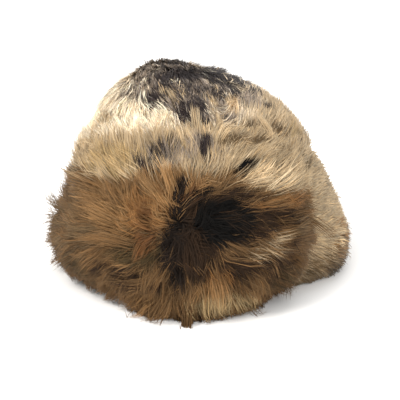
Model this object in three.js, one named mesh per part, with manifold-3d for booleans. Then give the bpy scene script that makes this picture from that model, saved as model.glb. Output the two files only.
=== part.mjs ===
// A soft fur cap: a rounded crown, a tall flap turned up over the brow and a lower flap turned
// up round the sides and the nape, each a tanned skin with its fur outwards.
// Millimetres, +Z up, the brow towards -Y. The origin lies on the table under the cap's middle.

import * as THREE from 'three';
import { mergeVertices } from 'three/addons/utils/BufferGeometryUtils.js';
import Module from 'manifold-3d';

const wasm = await Module();
wasm.setup();

// Driving dimensions
const SKIN = 2.5; // the tanned skin of the crown
const CLIPPED_PILE = 1; // fur under the turned-up flaps, cut short
const PACKED_PILE = 6; // dense underfur on the open part of the crown
const SEAM_GAP = 0.4; // between pieces that are sewn together
const CROWN_CENTRE_Y = 9; // the cap reaches further forward than back
const FLOOR_CUT = 2; // how much of each flap's fur is pressed flat by the table
const PILE_RISE = [2, 14]; // heights above the flaps over which the crown's fur comes to its full depth

// The skin's outer face, from the rim to the top. The soft top has slumped towards -X.
const CROWN_SECTIONS = [
  { height: 5, halfWidth: 85, halfLength: 102.5, lean: 0 },
  { height: 48, halfWidth: 86.5, halfLength: 104, lean: 0 },
  { height: 86, halfWidth: 87, halfLength: 104, lean: 0 },
  { height: 108, halfWidth: 83, halfLength: 98, lean: -2.5 },
  { height: 126, halfWidth: 72.5, halfLength: 86, lean: -7 },
  { height: 140, halfWidth: 55, halfLength: 66, lean: -15 },
  { height: 149.5, halfWidth: 36.5, halfLength: 44, lean: -22 },
  { height: 155.5, halfWidth: 18.5, halfLength: 23, lean: -27 },
  { height: 158, halfWidth: 0, halfLength: 0, lean: -30 },
];

// Soft dents of the crown, in degrees from the brow and millimetres.
const CROWN_DENTS = [
  { angle: 30, height: 137, depth: 4, width: 22, rise: 8 },
  { angle: -40, height: 132, depth: 3, width: 26, rise: 8 },
  { angle: 95, height: 122, depth: -3, width: 24, rise: 14 },
  { angle: 150, height: 135, depth: 20, width: 70, rise: 42 },
  { angle: -120, height: 118, depth: 3, width: 22, rise: 12 },
];

const MOST_INSET = 0.55; // share of the crown's half width

// The lie of the fur: 0 runs round the cap towards the +X side, 90 straight up.
const CROWN_LIE = [
  { angle: 0, height: 150, heading: -70 },
  { angle: -60, height: 130, heading: -88 },
  { angle: 30, height: 140, heading: -80 },
  { angle: 62, height: 140, heading: 50 },
  { angle: 95, height: 110, heading: 40 },
  { angle: 135, height: 110, heading: -60 },
  { angle: 180, height: 120, heading: -90 },
  { angle: -120, height: 120, heading: -90 },
];

const FRONT_LIE = [
  { angle: -65, height: 110, heading: 125 },
  { angle: -65, height: 60, heading: 158 },
  { angle: -65, height: 15, heading: 190 },
  { angle: -25, height: 115, heading: 105 },
  { angle: -20, height: 60, heading: 145 },
  { angle: -20, height: 10, heading: 235 },
  { angle: 15, height: 115, heading: 88 },
  { angle: 18, height: 15, heading: 275 },
  { angle: 45, height: 115, heading: 50 },
  { angle: 45, height: 75, heading: 2 },
  { angle: 45, height: 15, heading: -50 },
  { angle: 62, height: 110, heading: 45 },
  { angle: 62, height: 60, heading: -18 },
  { angle: 62, height: 15, heading: -55 },
];

const BACK_LIE = [
  { angle: 75, height: 40, heading: -8 },
  { angle: 130, height: 40, heading: -25 },
  { angle: 180, height: 40, heading: -90 },
  { angle: 230, height: 40, heading: 205 },
  { angle: 285, height: 40, heading: 188 },
];

// Each flap's packed fur: how far it stands off the crown at a share of the flap's height.
const FRONT_FLAP = {
  from: -73,
  to: 68,
  lie: FRONT_LIE,
  locks: {
    spacing: 24,
    levelPitch: 0.14,
    length: 44,
    width: 25,
    depth: 14,
    raise: 9,
    sink: 4,
    endMargin: 7,
  },
  seed: 37,
  tuft: [ // at the foot of the flap, where the longest hairs hang forwards
    { angle: 11, rootHeight: 13, rootStand: 24, tipHeight: 2.5, tipStand: 54, width: 15, depth: 9 },
    { angle: 15, rootHeight: 12, rootStand: 24, tipHeight: 1.5, tipStand: 60, width: 13, depth: 8 },
    { angle: 19, rootHeight: 14, rootStand: 24, tipHeight: 3, tipStand: 52, width: 14, depth: 9 },
  ],
  top: [
    { angle: -73, height: 114 },
    { angle: -40, height: 126 },
    { angle: 0, height: 130 },
    { angle: 40, height: 128 },
    { angle: 68, height: 120 },
  ],
  endRise: 14,
  endRiseSpan: 25,
  endShare: 0.8,
  endSpan: 8,
  sections: [
    { share: 0, stand: 31 },
    { share: 0.1, stand: 37 },
    { share: 0.25, stand: 39 },
    { share: 0.5, stand: 31.5 },
    { share: 0.72, stand: 24.5 },
    { share: 0.9, stand: 17.5 },
    { share: 1, stand: 8 },
  ],
};

const BACK_FLAP = {
  from: 54,
  to: 300,
  lie: BACK_LIE,
  locks: {
    spacing: 28,
    levelPitch: 0.22,
    length: 32,
    width: 23,
    depth: 9,
    raise: 4.5,
    sink: 3,
    endMargin: 18,
  },
  seed: 23,
  tuft: [],
  top: [
    { angle: 54, height: 84 },
    { angle: 110, height: 81 },
    { angle: 180, height: 77 },
    { angle: 250, height: 81 },
    { angle: 300, height: 84 },
  ],
  endRise: 0,
  endRiseSpan: 1,
  endShare: 0.22,
  endSpan: 32,
  sections: [
    { share: 0, stand: 30 },
    { share: 0.1, stand: 33.5 },
    { share: 0.35, stand: 29.5 },
    { share: 0.65, stand: 18 },
    { share: 0.9, stand: 9 },
    { share: 1, stand: 4 },
  ],
};

// Locks of longer fur: their spacing and size, how far the root is sunk into the pile and the tip
// raised off it. The crown's are rooted from a lowest height up to the last part of a section row.
const CROWN_FUR = {
  lie: CROWN_LIE,
  locks: {
    spacing: 23,
    pitch: 22,
    levelPitch: 0.5,
    length: 36,
    width: 23,
    depth: 9,
    raise: 5.5,
    sink: 3,
    lowest: 96,
    bareRows: 0.3,
  },
  seed: 11,
};
const LOCK_SIDES = 3;
const LOCK_BELLY = 0.55; // where along its length a lock is widest
const LOCK_JITTER = 0.22; // share of the spacing by which a lock is moved
const LOCK_END_ROOM = 5; // how many times the room beside a lock is left at its points
const FEWEST_LOCKS = 3; // in a row

// The lie at a place is that of the rows near it: how much a degree counts beside a millimetre of
// height, and the cube of the distance within which one row prevails.
const LIE_MM_PER_DEGREE = 1.9;
const LIE_REACH = 400;

const ANGLE_STEP = 12;
const MM_PER_DEGREE = 1.5; // round the cap, at its narrowest
const TOP_MM_PER_DEGREE = 0.4; // the least by which a lock near the crown's top is turned
const WELD = 1e-4;
const HALVINGS = 16;

const radians = THREE.MathUtils.degToRad;
const { clamp, lerp, smoothstep } = THREE.MathUtils;

// A steady stream of numbers from 0 to 1, the same each time.
function randomStream(seed) {
  let state = seed;
  return () => {
    state = (Math.imul(state, 1664525) + 1013904223) >>> 0;
    return state / 2 ** 32;
  };
}

// One column of a table at a fractional row, on a smooth curve through its rows.
function column(table, name, row) {
  const last = table.length - 1;
  const start = Math.min(Math.floor(row), last - 1);
  const [a, b, c, d] = [-1, 0, 1, 2].map((step) => table[clamp(start + step, 0, last)][name]);
  const t = row - start;
  const slope = c - a;
  const bend = 2 * a - 5 * b + 4 * c - d;
  const twist = 3 * b - 3 * c + d - a;
  return b + (t * (slope + t * (bend + t * twist))) / 2;
}

// The fractional row at which an increasing column reaches a value.
function rowWhere(table, name, value) {
  const last = table.length - 1;
  const above = table.findIndex((row) => row[name] >= value);
  if (above === 0) return 0;
  if (above < 0) return last;
  let [low, high] = [above - 1, above];
  for (let step = 0; step < HALVINGS; step += 1) {
    const middle = (low + high) / 2;
    if (column(table, name, middle) < value) low = middle;
    else high = middle;
  }
  return (low + high) / 2;
}

const lookUp = (table, key, value, name) => column(table, name, rowWhere(table, key, value));

// How far round the cap one angle lies from another, from -180 to 180 degrees.
const turn = (from, to) => THREE.MathUtils.euclideanModulo(to - from + 180, 360) - 180;

function dentDepth(angle, height) {
  return CROWN_DENTS.reduce((total, dent) => {
    const across = turn(dent.angle, angle) / dent.width;
    const up = (height - dent.height) / dent.rise;
    return total + dent.depth * Math.exp(-across * across - up * up);
  }, 0);
}

const CROWN_ROWS = CROWN_SECTIONS.length - 1;
const SLOPE_STEP = 0.02;

// The crown's skin. Its first coordinate is the angle from the brow, its second the section row.
const crownSkin = {
  low: 0,
  high: CROWN_ROWS,
  point(angle, row) {
    const height = column(CROWN_SECTIONS, 'height', row);
    const dent = dentDepth(angle, height);
    const halfWidth = column(CROWN_SECTIONS, 'halfWidth', row);
    const halfLength = column(CROWN_SECTIONS, 'halfLength', row);
    const inset = Math.min(dent, MOST_INSET * halfWidth);
    return new THREE.Vector3(
      column(CROWN_SECTIONS, 'lean', row) + (halfWidth - inset) * Math.sin(radians(angle)),
      CROWN_CENTRE_Y - (halfLength - inset) * Math.cos(radians(angle)),
      height,
    );
  },
};

// The two edge directions of a surface at a point, per degree and per unit of the second coordinate.
function tangents(surface, angle, level) {
  const low = Math.max(level - SLOPE_STEP, surface.low);
  const high = Math.min(level + SLOPE_STEP, surface.high);
  const before = surface.point(angle - SLOPE_STEP, level);
  const round = surface.point(angle + SLOPE_STEP, level).sub(before);
  const up = surface.point(angle, high).sub(surface.point(angle, low));
  return { round: round.divideScalar(2 * SLOPE_STEP), up: up.divideScalar(high - low) };
}

function outwardFrom(surface, angle, level) {
  const { round, up } = tangents(surface, angle, level);
  return round.cross(up).normalize();
}

function crownPoint(angle, row, standOff) {
  const outward = outwardFrom(crownSkin, angle, Math.min(row, CROWN_ROWS - SLOPE_STEP));
  if (row === CROWN_ROWS) outward.set(0, 0, 1);
  return crownSkin.point(angle, row).addScaledVector(outward, standOff);
}

const flapTop = (flap, angle) => lookUp(flap.top, 'angle', angle, 'height');
const isUnder = (flap, angle) => angle >= flap.from && angle <= flap.to;

// The height up to which flaps hide the crown at an angle.
function coveredHeight(angle) {
  const front = turn(0, angle);
  const back = THREE.MathUtils.euclideanModulo(angle, 360);
  return isUnder(FRONT_FLAP, front) ? flapTop(FRONT_FLAP, front) : flapTop(BACK_FLAP, back);
}

function crownPile(angle, row) {
  const clear = column(CROWN_SECTIONS, 'height', row) - coveredHeight(angle);
  return lerp(CLIPPED_PILE, PACKED_PILE, smoothstep(clear, ...PILE_RISE));
}

const crownFur = {
  low: 0,
  high: CROWN_ROWS,
  point: (angle, row) => crownPoint(angle, row, crownPile(angle, row)),
};

// The outer face of a flap's packed fur. Its second coordinate is the share of the flap's height.
function flapFur(flap) {
  return {
    low: 0,
    high: 1,
    point(angle, share) {
      return besideCrown(angle, flapHeight(flap, angle, share), flapStand(flap, angle, share));
    },
  };
}

function fromEnd(flap, angle) {
  return Math.min(angle - flap.from, flap.to - angle);
}

function flapHeight(flap, angle, share) {
  const rise = flap.endRise * (1 - smoothstep(fromEnd(flap, angle), 0, flap.endRiseSpan));
  return lerp(rise - FLOOR_CUT, flapTop(flap, angle), share);
}

function flapStand(flap, angle, share) {
  const fullness = lerp(flap.endShare, 1, smoothstep(fromEnd(flap, angle), 0, flap.endSpan));
  return Math.max(lookUp(flap.sections, 'share', share, 'stand') * fullness, 2 * CLIPPED_PILE);
}

// A point level with the crown's skin at a height, moved straight outwards.
function besideCrown(angle, height, stand) {
  const row = rowWhere(CROWN_SECTIONS, 'height', height);
  const outward = tangents(crownSkin, angle, row).round.cross(new THREE.Vector3(0, 0, 1)).normalize();
  const point = crownSkin.point(angle, row).addScaledVector(outward, stand);
  return point.setZ(height);
}

// The direction in which the fur lies at a place, blended from the nearest rows of a table.
function headingAt(lie, angle, height) {
  const sum = new THREE.Vector2();
  for (const row of lie) {
    const distance = Math.hypot(turn(row.angle, angle) * LIE_MM_PER_DEGREE, height - row.height);
    const weight = 1 / (distance ** 3 + LIE_REACH);
    sum.x += weight * Math.cos(radians(row.heading));
    sum.y += weight * Math.sin(radians(row.heading));
  }
  return sum.normalize();
}

// Turns a closed geometry into a solid, with its faces outwards.
function solidFrom(geometry) {
  const bare = new THREE.BufferGeometry();
  bare.setAttribute('position', geometry.getAttribute('position'));
  if (geometry.index) bare.setIndex(geometry.index);
  const merged = mergeVertices(bare, WELD);
  const corners = [];
  for (let face = 0; face < merged.index.count; face += 3) {
    const [a, b, c] = [0, 1, 2].map((corner) => merged.index.getX(face + corner));
    if (a !== b && b !== c && c !== a) corners.push(a, b, c);
  }
  const mesh = () => new wasm.Mesh({
    numProp: 3,
    vertProperties: new Float32Array(merged.getAttribute('position').array),
    triVerts: new Uint32Array(corners),
  });
  const solid = new wasm.Manifold(mesh());
  if (solid.volume() > 0) return solid;
  corners.reverse();
  return new wasm.Manifold(mesh());
}

// A closed skin carried through rings of points, one for each angle. The last ring joins the
// first where the piece goes all the way round, and otherwise both ends are capped.
function sweep(rings, { allRound }) {
  const size = rings[0].points.length;
  const positions = rings.flatMap((ring) => ring.points.flatMap((point) => point.toArray()));
  const indices = [];
  const spans = allRound ? rings.length : rings.length - 1;
  for (let ring = 0; ring < spans; ring += 1) {
    const here = ring * size;
    const next = ((ring + 1) % rings.length) * size;
    for (let i = 0; i < size; i += 1) {
      const j = (i + 1) % size;
      indices.push(here + i, next + i, next + j, here + i, next + j, here + j);
    }
  }
  if (!allRound) {
    const end = (rings.length - 1) * size;
    for (const [a, b, c] of THREE.ShapeUtils.triangulateShape(rings[0].outline, [])) {
      indices.push(a, b, c, end + a, end + c, end + b);
    }
  }
  const geometry = new THREE.BufferGeometry();
  geometry.setAttribute('position', new THREE.Float32BufferAttribute(positions, 3));
  geometry.setIndex(indices);
  return solidFrom(geometry);
}

function steps(from, to, step) {
  const count = Math.round((to - from) / step);
  return Array.from({ length: count + 1 }, (_, i) => lerp(from, to, i / count));
}

const FULL_TURN = steps(0, 360 - ANGLE_STEP, ANGLE_STEP);
const CROWN_LEVELS = [0, 2, 2.7, ...steps(3.3, CROWN_ROWS, 0.65)];

// The crown's walls: its fur from rim to top, then the skin's inner face back down to the rim.
function crownShell() {
  return sweep(FULL_TURN.map((angle) => ({
    points: [
      ...CROWN_LEVELS.map((row) => crownFur.point(angle, row)),
      ...CROWN_LEVELS.map((row) => crownPoint(angle, row, -SKIN)).reverse(),
    ],
  })), { allRound: true });
}

// Everything inside the crown's fur and the seam gap round it, down past the table.
function crownRoom() {
  return sweep(FULL_TURN.map((angle) => {
    const fur = CROWN_LEVELS.map((row) => crownPoint(angle, row, crownPile(angle, row) + SEAM_GAP));
    const foot = fur[0].clone().setZ(-3 * FLOOR_CUT);
    return { points: [foot.clone().setX(0).setY(CROWN_CENTRE_Y), foot, ...fur] };
  }), { allRound: true });
}

// A flap made larger by some room at its ends, its top and its face.
function withRoom(flap, spare) {
  const overEnd = spare / MM_PER_DEGREE;
  return {
    ...flap,
    from: flap.from - overEnd,
    to: flap.to + overEnd,
    top: flap.top.map((row) => ({ ...row, height: row.height + spare })),
    sections: flap.sections.map((row) => ({ ...row, stand: row.stand + spare })),
  };
}

// A flap's packed fur, from the crown's skin outwards. The crown's room is cut from it later.
function flapPad(flap) {
  const fur = flapFur(flap);
  const outerShares = flap.sections.map((section) => section.share);
  const innerShares = [1, 0.8, 0.6, 0];
  return sweep(steps(flap.from, flap.to, ANGLE_STEP).map((angle) => ({
    points: [
      ...outerShares.map((share) => fur.point(angle, share)),
      ...innerShares.map((share) => besideCrown(angle, flapHeight(flap, angle, share), 0)),
    ],
    outline: [
      ...outerShares.map((share) => new THREE.Vector2(flapStand(flap, angle, share), share)),
      ...innerShares.map((share) => new THREE.Vector2(0, share)),
    ],
  })), { allRound: false });
}

// A lock of fur: flat, widest before its middle and pointed at both ends. Room round it makes it
// wider and, because its points are slender, longer by several times as much.
function lockBetween(root, tip, outward, { width, depth }, spare) {
  const ends = tip.clone().sub(root).setLength(LOCK_END_ROOM * spare);
  const start = root.clone().sub(ends);
  const along = tip.clone().add(ends).sub(start);
  const side = along.clone().cross(outward).setLength(width + 2 * spare);
  const up = side.clone().cross(along).setLength(depth + 2 * spare);
  const profile = [[0, 0], [0.5, LOCK_BELLY], [0, 1]].map(([x, y]) => new THREE.Vector2(x, y));
  const geometry = new THREE.LatheGeometry(profile, LOCK_SIDES);
  const place = new THREE.Matrix4().makeBasis(side, along, up).setPosition(start);
  return solidFrom(geometry.applyMatrix4(place));
}

// The place a given distance along the fur's lie, straight on past the edge of the surface.
function followLie(surface, angle, level, heading, distance) {
  const { round, up } = tangents(surface, angle, level);
  const farAngle = angle + (heading.x * distance) / Math.max(round.length(), TOP_MM_PER_DEGREE);
  const farLevel = level + (heading.y * distance) / up.length();
  const kept = clamp(farLevel, surface.low, surface.high);
  const edge = tangents(surface, farAngle, kept).up;
  return surface.point(farAngle, kept).addScaledVector(edge, farLevel - kept);
}

function layLock(surface, lie, angle, level, shape, spare) {
  const outward = outwardFrom(surface, angle, level);
  const onFur = surface.point(angle, level);
  const heading = headingAt(lie, angle, onFur.z);
  const tip = followLie(surface, angle, level, heading, shape.length);
  const root = onFur.addScaledVector(outward, -shape.sink);
  return lockBetween(root, tip.addScaledVector(outward, shape.raise), outward, shape, spare);
}

// Staggered rows of locks over a surface between two angles.
function layLocks(surface, { lie, locks, seed }, levels, [from, to], spare) {
  const random = randomStream(seed);
  const jitter = () => (random() - 0.5) * 2 * LOCK_JITTER;
  return wasm.Manifold.union(levels.flatMap((level, index) => {
    const perDegree = tangents(surface, (from + to) / 2, level).round.length();
    const count = Math.max(Math.round(((to - from) * perDegree) / locks.spacing), FEWEST_LOCKS);
    const stagger = index % 2 ? 0.75 : 0.25;
    return Array.from({ length: count }, (_, i) => {
      const angle = lerp(from, to, (i + stagger + jitter()) / count);
      const moved = clamp(level + jitter() * locks.levelPitch, surface.low, surface.high);
      return layLock(surface, lie, angle, moved, locks, spare);
    });
  }));
}

// The crown's locks are rooted in rows an even distance apart up its slope.
function crownLocks() {
  const rows = [];
  let row = rowWhere(CROWN_SECTIONS, 'height', CROWN_FUR.locks.lowest);
  while (row < CROWN_ROWS - CROWN_FUR.locks.bareRows) {
    rows.push(row);
    row += CROWN_FUR.locks.pitch / tangents(crownFur, 180, row).up.length();
  }
  return layLocks(crownFur, CROWN_FUR, rows, [0, 360], 0);
}

// A flap with its locks and tuft, and with some room round all of them.
function flapBody(flap, spare) {
  const { levelPitch, endMargin } = flap.locks;
  const levels = steps(levelPitch / 3, 1 - levelPitch / 3, levelPitch);
  const ends = [flap.from + endMargin, flap.to - endMargin];
  const tuft = flap.tuft.map((row) => {
    const root = besideCrown(row.angle, row.rootHeight, row.rootStand);
    const tip = besideCrown(row.angle, row.tipHeight, row.tipStand);
    return lockBetween(root, tip, new THREE.Vector3(0, 0, 1), row, spare);
  });
  const locks = layLocks(flapFur(flap), flap, levels, ends, spare);
  return wasm.Manifold.union([flapPad(withRoom(flap, spare)), locks, ...tuft]);
}

// What lies under the table's surface, where the table presses the fur flat.
function underTable() {
  const size = 600; // well beyond the cap
  return solidFrom(new THREE.BoxGeometry(size, size, size).translate(0, 0, -size / 2));
}

// The largest connected body of a solid, without the crumbs that a cut leaves.
function mainBody(solid) {
  const bodies = solid.decompose();
  return bodies.reduce((best, body) => (body.volume() > best.volume() ? body : best));
}

function meshFrom(solid, name, { color, roughness }) {
  const { vertProperties, triVerts } = mainBody(solid).getMesh();
  const geometry = new THREE.BufferGeometry();
  geometry.setAttribute('position', new THREE.BufferAttribute(vertProperties, 3));
  geometry.setIndex(new THREE.BufferAttribute(triVerts, 1));
  geometry.computeVertexNormals();
  const material = new THREE.MeshStandardMaterial({ color, roughness, metalness: 0 });
  const mesh = new THREE.Mesh(geometry, material);
  mesh.name = name;
  return mesh;
}

// The brow flap lies over the nape flap's ends, and the crown's fur gives way to both.
const notForFlaps = crownRoom().add(underTable());
const frontFlap = flapBody(FRONT_FLAP, 0).subtract(notForFlaps);
const frontRoom = flapBody(FRONT_FLAP, SEAM_GAP);
const backFlap = flapBody(BACK_FLAP, 0).subtract(notForFlaps).subtract(frontRoom);
const backRoom = flapBody(BACK_FLAP, SEAM_GAP);
const crown = crownShell().add(crownLocks().subtract(frontRoom).subtract(backRoom));

const cap = new THREE.Group();
cap.add(
  meshFrom(crown, 'crown', { color: 0xc9b48e, roughness: 0.85 }),
  meshFrom(frontFlap, 'front_flap', { color: 0x7d6140, roughness: 0.85 }),
  meshFrom(backFlap, 'back_flap', { color: 0x9c8a68, roughness: 0.85 }),
);

export default cap;
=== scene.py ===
"""A soft fur cap: three tanned hides, each under its own underfur and long guard hair.

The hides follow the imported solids. Every hair is a slender blade that is combed along its hide,
gathered into locks and coloured by the markings of the coat. Sizes of the cap's form are in
millimetres here and become metres where a mesh is made.
"""

import math
import typing

import bpy
import numpy as np
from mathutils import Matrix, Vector
from mathutils.kdtree import KDTree


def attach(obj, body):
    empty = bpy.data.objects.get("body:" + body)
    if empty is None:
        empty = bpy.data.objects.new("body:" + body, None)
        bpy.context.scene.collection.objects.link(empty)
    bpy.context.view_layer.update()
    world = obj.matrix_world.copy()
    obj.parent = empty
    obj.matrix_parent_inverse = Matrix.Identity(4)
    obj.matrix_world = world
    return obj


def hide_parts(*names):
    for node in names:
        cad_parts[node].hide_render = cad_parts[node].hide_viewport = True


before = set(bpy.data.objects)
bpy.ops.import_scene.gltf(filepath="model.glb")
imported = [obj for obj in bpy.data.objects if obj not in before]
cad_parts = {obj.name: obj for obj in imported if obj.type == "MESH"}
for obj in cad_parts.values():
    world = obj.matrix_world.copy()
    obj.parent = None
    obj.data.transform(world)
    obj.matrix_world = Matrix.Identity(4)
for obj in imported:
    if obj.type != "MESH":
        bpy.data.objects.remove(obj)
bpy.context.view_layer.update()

bl_info = {
    "name": "Fur Cap",
    "version": (1, 0, 0),
    "blender": (4, 5, 0),
    "location": "3D View > Sidebar > Fur Cap",
    "description": "Makes a soft fur cap with turned-up flaps, and the stage it stands on",
    "category": "Object",
}

MM = 0.001

# The crown's skin, from the rim to the top: height, half width, half length, lean to the side.
CROWN_SECTIONS = np.array([
    (5, 85, 102.5, 0), (48, 86.5, 104, 0), (86, 87, 104, 0),
    (108, 83, 98, -2.5), (126, 72.5, 86, -7), (140, 55, 66, -15),
    (149.5, 36.5, 44, -22), (155.5, 18.5, 23, -27), (158, 0, 0, -30),
])
CROWN_CENTRE_Y = 9
CROWN_TOP = len(CROWN_SECTIONS) - 1.0
SKIN = 2.5
MOST_INSET = 0.55  # of the half width, by all dents together

# Soft dents: angle from the brow, height, depth, width in degrees, and how far up and down each
# reaches. A dent of negative depth swells.
CROWN_DENTS = np.array([
    (30, 137, 4, 22, 8), (-40, 132, 3, 26, 8), (95, 122, -3, 24, 14),
    (150, 135, 20, 70, 42), (-120, 118, 3, 22, 12),
])

# A flap's hide, from its inner rim round under the fold and up its face: the share of the flap's
# height, and how far it stands off the crown. The last two rows lie beyond the flap's top edge.
BROW_PROFILE = np.array([
    (0.05, 2.5), (0.015, 9), (0.008, 16), (0.03, 21), (0.12, 26),
    (0.27, 27.5), (0.45, 24), (0.62, 18.5), (0.78, 13.5), (0.9, 8.5),
    (0.98, 5), (1.02, 2.5), (1.12, 2), (1.3, 2),
])
NAPE_PROFILE = np.array([
    (0.07, 2.5), (0.02, 9), (0.012, 17), (0.05, 24), (0.14, 27),
    (0.3, 26.5), (0.45, 22), (0.6, 17), (0.75, 12), (0.88, 7),
    (0.97, 4), (1.02, 2.2), (1.12, 2), (1.3, 2),
])
FOLD_ROW = 3.0  # where the hide leaves the table
EDGE_ROW = 11.0  # its top edge
SWELL_ROWS = 4.5, 7.5  # where a swell at the foot fades out
LEAST_STAND = 2

# The flaps, in degrees round the cap from the brow and in millimetres.
# span: its start and end. top, foot: by angle, the height of its top edge and of its fold.
# end_share, end_span: how full it is at its ends, and how far in it is full.
# tuck, tuck_span: how much thinner its start is towards the top, and how far in that goes.
# skirt: between these angles the hair at its foot hangs at full length.
# flare: from one angle to the other that hair is longer by a share.
# swell: at this angle, and so far to its sides, the foot stands out more by a share.
BROW_FLAP = {
    "profile": BROW_PROFILE,
    "span": (-73, 68),
    "top": np.array([(-73, 114), (-40, 126), (0, 130), (40, 128), (68, 120)]),
    "foot": np.array([
        (-73, 2), (-45, 1), (-32, 3), (-21, 7), (-14, 10), (-7, 7), (0, 5), (8, 0),
        (28, 0), (36, 3.5), (45, 5), (52, 6), (57, 9.5), (68, 13),
    ]),
    "end_share": 0.6, "end_span": 13, "tuck": 0.8, "tuck_span": 44,
    "skirt": (0, 30),
    "flare": (-90, -42, 0.5),
    "swell": (-56, 14, 0.07),
}
NAPE_FLAP = {
    "profile": NAPE_PROFILE,
    "span": (54, 300),
    "top": np.array([(54, 84), (110, 81), (180, 77), (250, 81), (300, 84)]),
    "foot": np.array([(54, 0), (300, 0)]),
    "end_share": 0.22, "end_span": 32, "tuck": 0, "tuck_span": 1,
    "skirt": (54, 300),
    "flare": (60, 112, 0.7),
    "swell": (88, 22, 0.2),
}

# The lie of the fur: angle, height and heading, 0 round the cap and 90 straight up.
CROWN_LIE = np.array([
    (-60, 130, -95), (-35, 135, -80), (-15, 142, -70), (0, 138, -80),
    (20, 135, -85), (38, 133, -105), (55, 130, 35), (60, 137, 40),
    (75, 137, 25), (75, 125, 10), (88, 130, 0), (90, 120, 0),
    (75, 115, 15), (90, 108, 20), (102, 130, -10), (110, 120, 0),
    (135, 118, -60), (180, 120, -90), (-120, 120, -90),
])
BROW_LIE = np.array([
    (-32, 82, 168), (-52, 78, 176), (-28, 53, 198), (-48, 50, 198), (-60, 60, 192),
    (-60, 34, 206), (-27, 32, 222), (-13, 39, 212), (-2, 58, 196), (2, 32, 232),
    (-3, 88, 134), (-12, 96, 136), (1, 79, 186), (-25, 111, 156), (6, 104, 106),
    (11, 106, 90), (10, 90, 82), (8, 72, 236), (5, 58, 252), (12, 58, 276),
    (8, 46, 266), (12, 46, 272), (11, 34, 270), (17, 84, 42), (16, 68, -48),
    (20, 58, -74), (28, 107, 26), (22, 98, 40), (33, 102, -2), (30, 82, 2),
    (39, 76, -16), (50, 66, -30), (58, 77, -36), (37, 58, -28), (44, 56, -40),
    (31, 42, -48), (49, 38, -60), (25, 50, -58), (18, 34, -84), (24, 20, -78),
    (35, 15, -66), (48, 15, -58), (64, 30, -60), (13, 11, -90), (1, 14, -112),
    (-12, 14, -126), (-34, 12, -140), (39, 116, 42), (54, 106, 30), (52, 96, 0),
    (68, 111, 42), (24, 130, 78), (8, 134, 94), (-4, 118, 116), (-18, 127, 130),
    (-45, 118, 138), (-60, 104, 146),
])
NAPE_LIE = np.array([
    (75, 60, -6), (75, 20, -34), (130, 40, -25),
    (180, 40, -90), (230, 40, 205), (285, 40, 190),
])
LIE_MM_PER_DEGREE = 1.9
LIE_REACH = 300  # the more, the softer one row gives way to the next

# Markings of the coat, painted in this order: colour, angle, height, half width, half height,
# strength and, for some, tilt in degrees. Widths are millimetres over the fur.
CROWN_MARKINGS = (
    ("beige", 84, 123, 44, 22, 0.85), ("beige", 150, 112, 60, 30, 0.7),
    ("khaki", 200, 106, 50, 24, 0.6), ("beige", 250, 118, 50, 24, 0.6),
    ("smoke", -50, 152, 20, 13, 0.7), ("smoke", -26, 148, 15, 10, 0.6),
    ("smoke", 36, 148, 28, 20, 0.95), ("smoke", -8, 151, 16, 10, 0.9),
    ("smoke", 80, 142, 28, 22, 0.75), ("smoke", 0, 157.8, 34, 28, 0.95),
    ("dusk", 110, 156, 26, 18, 0.6), ("dusk", 41, 155, 32, 14, 0.6),
    ("dusk", 98, 145, 18, 26, 0.8), ("dusk", 124, 147, 30, 16, 0.9),
    ("dusk", 132, 140, 42, 26, 0.85), ("dusk", 30, 148, 34, 14, 0.5),
    ("dusk", 2, 149, 11, 11, 0.8, 24), ("dusk", 44, 155, 22, 9, 0.72),
    ("smoke", 46, 138, 24, 13, 0.85), ("dusk", 23, 139, 11, 15, 0.92, 12),
    ("dusk", 27, 133, 11, 8, 0.92, 10), ("dusk", 37, 142, 4, 11, 0.85, -4),
    ("dusk", 62, 144, 6, 12, 0.75, -40), ("dusk", 78, 142, 4, 14, 0.75, -52),
    ("dusk", 104, 139, 12, 8, 0.8), ("beige", 11, 148, 3, 11, 0.75, 26),
    ("warm_cream", 27, 150, 2.5, 9, 0.6, 8), ("beige", 28, 138, 1.6, 6, 0.7, 8),
    ("beige", 47, 141, 3.2, 15, 0.8, -12), ("warm_cream", 67, 147, 2.4, 7, 0.7, -40),
    ("warm_cream", 62, 139, 6, 11, 0.7, -38), ("tan", 63, 139, 5, 8, 0.5, -38),
    ("umber", 88, 131, 7, 3.5, 0.75, -15), ("drab", 54, 127, 24, 6, 0.85, -14),
    ("drab", 75, 119, 14, 8, 0.6, -20), ("khaki", 90, 113, 14, 8, 0.6),
    ("umber", 92, 106, 8, 5, 0.5, 20),
)
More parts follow.
